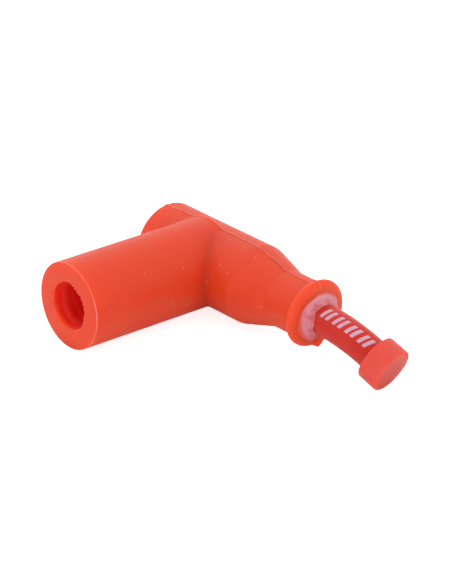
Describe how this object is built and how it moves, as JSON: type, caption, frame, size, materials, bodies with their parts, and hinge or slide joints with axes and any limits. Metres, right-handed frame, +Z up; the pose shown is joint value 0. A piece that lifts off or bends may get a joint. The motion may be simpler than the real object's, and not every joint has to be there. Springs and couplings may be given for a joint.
{
  "type": "spark plug cap with wire",
  "caption": "Right-angle silicone cap that plugs onto a spark plug, with a short ignition wire sealed into its side leg and closed by an end cap.",
  "frame": {"origin": "middle of the part's footprint, on the surface it lies on", "axes": "+X along the wire leg towards the wire's end cap, -Y the way the socket's mouth faces, +Z up"},
  "size_m": [0.0728, 0.047, 0.0193],
  "materials": {
    "red_silicone": "satin red-orange silicone",
    "wire_silicone": "satin red silicone, a little darker",
    "end_cap_silicone": "satin light red silicone",
    "sealant": "translucent pink-white silicone sealant",
    "phenolic": "dark moulded phenolic",
    "brass": "bright drawn brass",
    "spring_steel": "plain drawn spring wire",
    "ceramic": "unglazed off-white ceramic",
    "insulation": "matt pale insulation rubber",
    "conductor": "tinned copper strands"
  },
  "bodies": {
    "root": {"boot_jacket": "red_silicone", "insulator_core": "phenolic", "contact_sleeve": "brass", "snap_ring": "spring_steel", "contact_spring": "spring_steel", "resistor_cap_plug_side": "brass", "resistor_rod": "ceramic", "resistor_cap_wire_side": "brass", "elbow_contact": "brass", "wire_screw": "brass", "wire_conductor": "conductor", "wire_insulation": "insulation", "wire_jacket": "wire_silicone", "wire_sealant": "sealant", "end_cap": "end_cap_silicone"}
  },
  "joints": []
}
